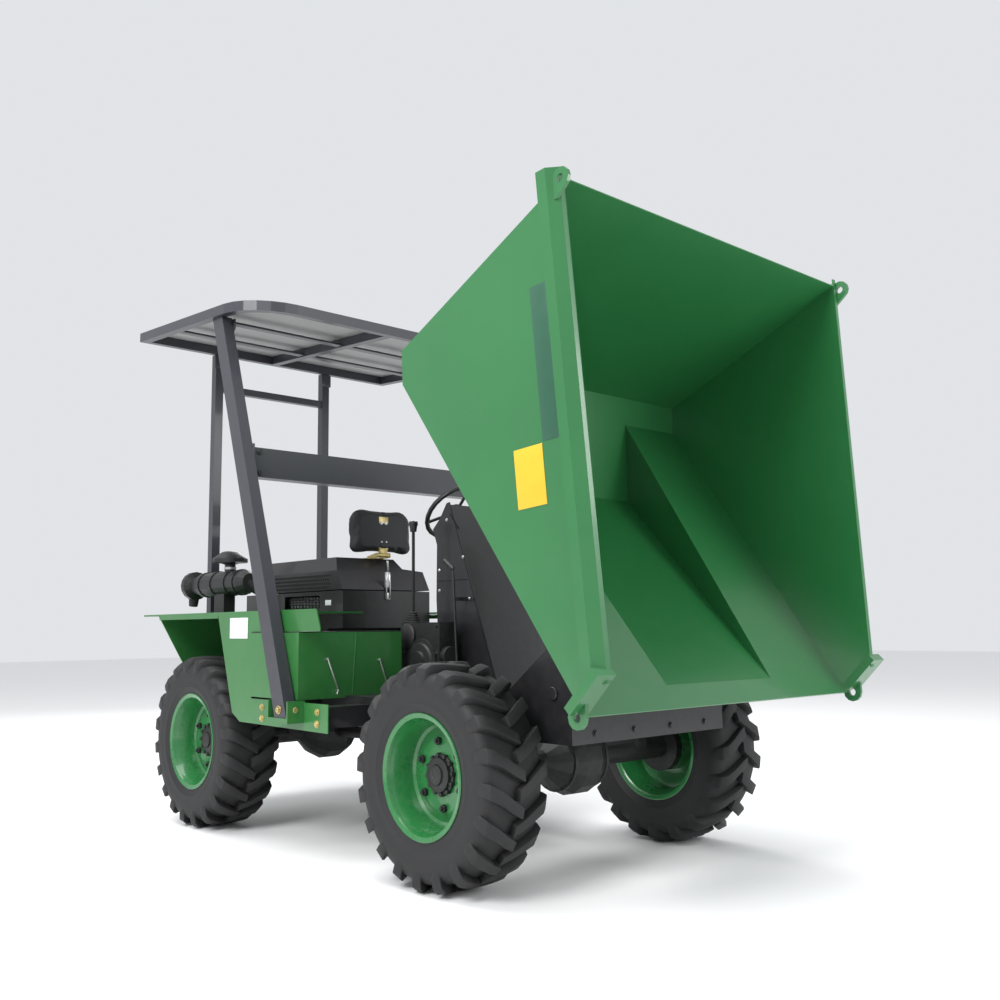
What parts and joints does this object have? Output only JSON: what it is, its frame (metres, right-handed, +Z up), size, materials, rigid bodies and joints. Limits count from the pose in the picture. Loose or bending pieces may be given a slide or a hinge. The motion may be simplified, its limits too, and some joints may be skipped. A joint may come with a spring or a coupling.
{
  "type": "site dumper",
  "caption": "Four-wheel site dumper with a forward-tipping skip, console, tip-up seat over a hinged bonnet, roll frame and canopy; skip shown tipped.",
  "frame": {"origin": "centre of the footprint on the ground", "axes": "+X towards the skip, the way the machine drives forward; +Y to the operator's left; +Z up"},
  "size_m": [3.1608, 1.636, 2.4006],
  "materials": {
    "rubber": "matt black rubber",
    "rim_green": "gloss green paint",
    "skip_green": "gloss green paint",
    "body_green": "gloss green paint",
    "frame_grey": "dark bluish grey paint",
    "panel_grey": "light grey, satin",
    "cover_grey": "dark grey paint",
    "cast_black": "black paint on castings",
    "moulded_black": "black moulded plastic",
    "vinyl": "black vinyl over foam",
    "zinc": "yellow zinc plate",
    "chrome": "chromed rod",
    "frame_black": "satin black paint"
  },
  "bodies": {
    "chassis": {"air_cleaner": "moulded_black", "canopy_frame": "frame_grey", "canopy_roof": "panel_grey", "chassis_frame": "frame_black", "console": "frame_black", "console_cover": "cover_grey", "control_rod": "frame_black", "engine_base": "cover_grey", "engine_block": "cast_black", "floor_plate": "frame_black", "front_axle": "cast_black", "gear_housing": "cast_black", "gear_lever": "moulded_black", "hinge_tower_left": "frame_black", "hinge_tower_right": "frame_black", "propshaft": "cast_black", "rear_axle": "cast_black", "rear_plate": "body_green", "rear_post_frame": "frame_grey", "rops_beam": "frame_grey", "rops_leg_left": "frame_grey", "rops_leg_right": "frame_grey", "side_panel_left": "body_green", "side_panel_right": "body_green", "side_tank_left": "body_green", "side_tank_right": "body_green", "steering_column": "frame_black"},
    "skip": {"skip": "skip_green"},
    "tip_barrel": {"tip_barrel": "frame_black"},
    "tip_rod": {"tip_rod": "chrome"},
    "steering_wheel": {"steering_wheel": "moulded_black"},
    "bonnet": {"bonnet": "cover_grey", "seat_bracket": "zinc"},
    "seat": {"seat_cushion": "vinyl"},
    "knuckle_right": {"knuckle_right": "cast_black"},
    "knuckle_left": {"knuckle_left": "cast_black"},
    "wheel_front_right": {"tyre_front_right": "rubber", "rim_front_right": "rim_green"},
    "wheel_front_left": {"tyre_front_left": "rubber", "rim_front_left": "rim_green"},
    "wheel_rear_right": {"tyre_rear_right": "rubber", "rim_rear_right": "rim_green"},
    "wheel_rear_left": {"tyre_rear_left": "rubber", "rim_rear_left": "rim_green"}
  },
  "joints": [
    {"name": "skip_tip", "type": "hinge", "parent": "chassis", "child": "skip", "pos_m": [1.07257, 0, 1.0915], "axis": [0, 1, 0], "range_deg": [-86, 0]},
    {"name": "tip_swing", "type": "hinge", "parent": "chassis", "child": "tip_barrel", "pos_m": [1.06457, 0, 0.53], "axis": [0, 1, 0], "range_deg": [-0.5, 13.5]},
    {"name": "tip_stroke", "type": "slide", "parent": "tip_barrel", "child": "tip_rod", "axis": [-0.3248, 0, 0.9458], "range_m": [-0.2385, 0]},
    {"name": "steer_right", "type": "hinge", "parent": "chassis", "child": "knuckle_right", "pos_m": [-0.97643, -0.485, 0.38], "axis": [0, 0, 1], "range_deg": [-28, 28]},
    {"name": "steer_left", "type": "hinge", "parent": "chassis", "child": "knuckle_left", "pos_m": [-0.97643, 0.485, 0.38], "axis": [0, 0, 1], "range_deg": [-28, 28]},
    {"name": "steering_wheel_turn", "type": "hinge", "parent": "chassis", "child": "steering_wheel", "pos_m": [-0.16543, 0.17, 1.41], "axis": [-0.7071, 0, 0.7071], "range_deg": [-505, 505]},
    {"name": "bonnet_open", "type": "hinge", "parent": "chassis", "child": "bonnet", "pos_m": [-1.32543, 0, 1.06], "axis": [0, 1, 0], "range_deg": [-60, 0]},
    {"name": "seat_fold", "type": "hinge", "parent": "bonnet", "child": "seat", "pos_m": [-0.65543, 0.11, 1.235], "axis": [0, 1, 0], "range_deg": [0, 80]},
    {"name": "spin_front_right", "type": "hinge", "parent": "chassis", "child": "wheel_front_right", "pos_m": [0.70457, -0.604, 0.38], "axis": [0, 1, 0], "continuous": true},
    {"name": "spin_front_left", "type": "hinge", "parent": "chassis", "child": "wheel_front_left", "pos_m": [0.70457, 0.604, 0.38], "axis": [0, 1, 0], "continuous": true},
    {"name": "spin_rear_right", "type": "hinge", "parent": "knuckle_right", "child": "wheel_rear_right", "pos_m": [-0.97643, -0.604, 0.38], "axis": [0, 1, 0], "continuous": true},
    {"name": "spin_rear_left", "type": "hinge", "parent": "knuckle_left", "child": "wheel_rear_left", "pos_m": [-0.97643, 0.604, 0.38], "axis": [0, 1, 0], "continuous": true}
  ],
  "couplings": [
    {"joint": "tip_swing", "follows": "skip_tip", "ratio": -0.15},
    {"joint": "tip_stroke", "follows": "skip_tip", "m_per_rad": 0.158},
    {"joint": "steer_left", "follows": "steer_right", "ratio": 1},
    {"joint": "steering_wheel_turn", "follows": "steer_right", "ratio": -18}
  ]
}
